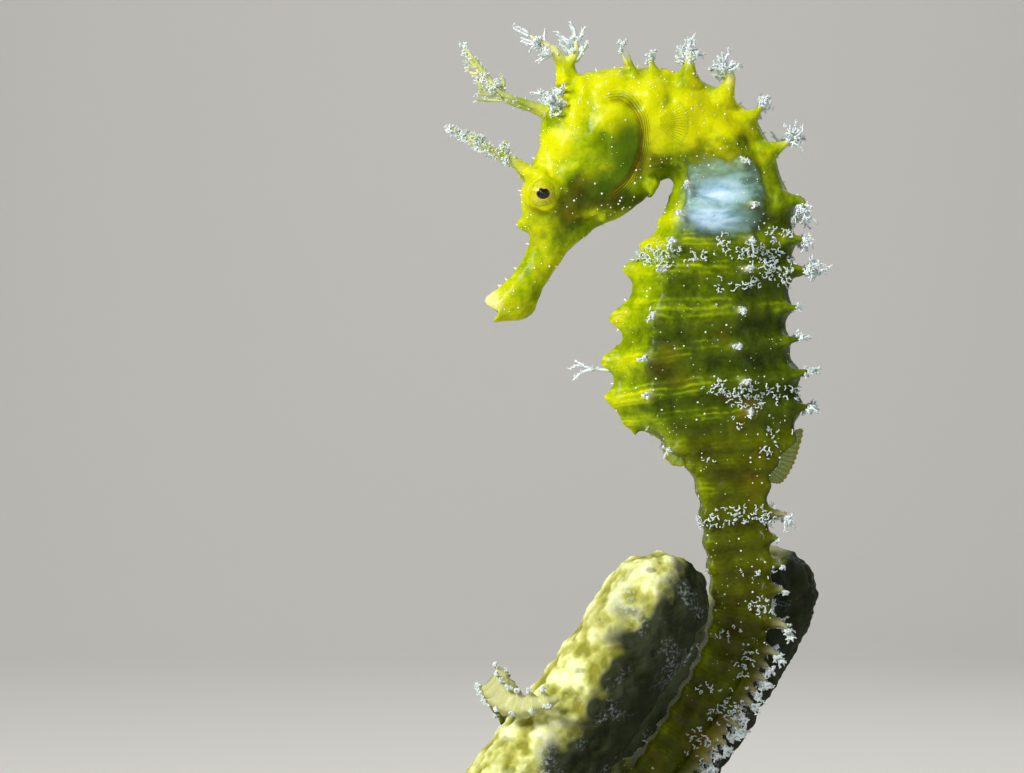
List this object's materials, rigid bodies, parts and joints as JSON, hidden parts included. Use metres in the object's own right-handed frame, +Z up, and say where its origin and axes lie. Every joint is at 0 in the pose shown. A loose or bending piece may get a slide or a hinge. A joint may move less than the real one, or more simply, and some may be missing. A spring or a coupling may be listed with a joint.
{
  "type": "seahorse",
  "caption": "Life-size still model of a female long-snouted seahorse with spiny, tufted rings, tail wrapped round a branch of yellow sponge, on a round wooden base with steel rods",
  "frame": {"origin": "centre of the underside of the round base, where it rests on a surface", "axes": "+Z up, -X the way the seahorse's snout points, -Y towards its left side; its mid-plane is Y = 0"},
  "size_m": [0.076, 0.076, 0.1273],
  "materials": {
    "skin": "moist satin skin over bony rings, lemon yellow head to olive tail",
    "eye": "wet gloss, golden iris with a black pupil",
    "fin": "thin translucent membrane with fine rays",
    "filament": "soft fleshy filaments with whitish branched tips",
    "sponge": "matte, knobbly and pored",
    "base_wood": "turned walnut, satin oil",
    "rod_steel": "brushed"
  },
  "bodies": {
    "root": {"snout": "skin", "lower_jaw": "skin", "head": "skin", "eye_left": "eye", "eye_right": "eye", "gill_cover_left": "skin", "gill_cover_right": "skin", "brow_filament_left": "filament", "brow_filament_right": "filament", "crown_filament_left": "filament", "crown_filament_right": "filament", "coronet": "skin", "neck": "skin", "trunk_upper": "skin", "trunk_lower": "skin", "tail_1": "skin", "tail_2": "skin", "tail_3": "skin", "tail_4": "skin", "tail_5": "skin", "tail_6": "skin", "dorsal_fin": "fin", "anal_fin": "fin", "pectoral_fin_left": "fin", "pectoral_fin_right": "fin", "sponge_front_branch": "sponge", "sponge_rear_branch": "sponge", "stand_base": "base_wood", "stand_rod_stem": "rod_steel", "stand_rod_rear": "rod_steel"}
  },
  "joints": []
}
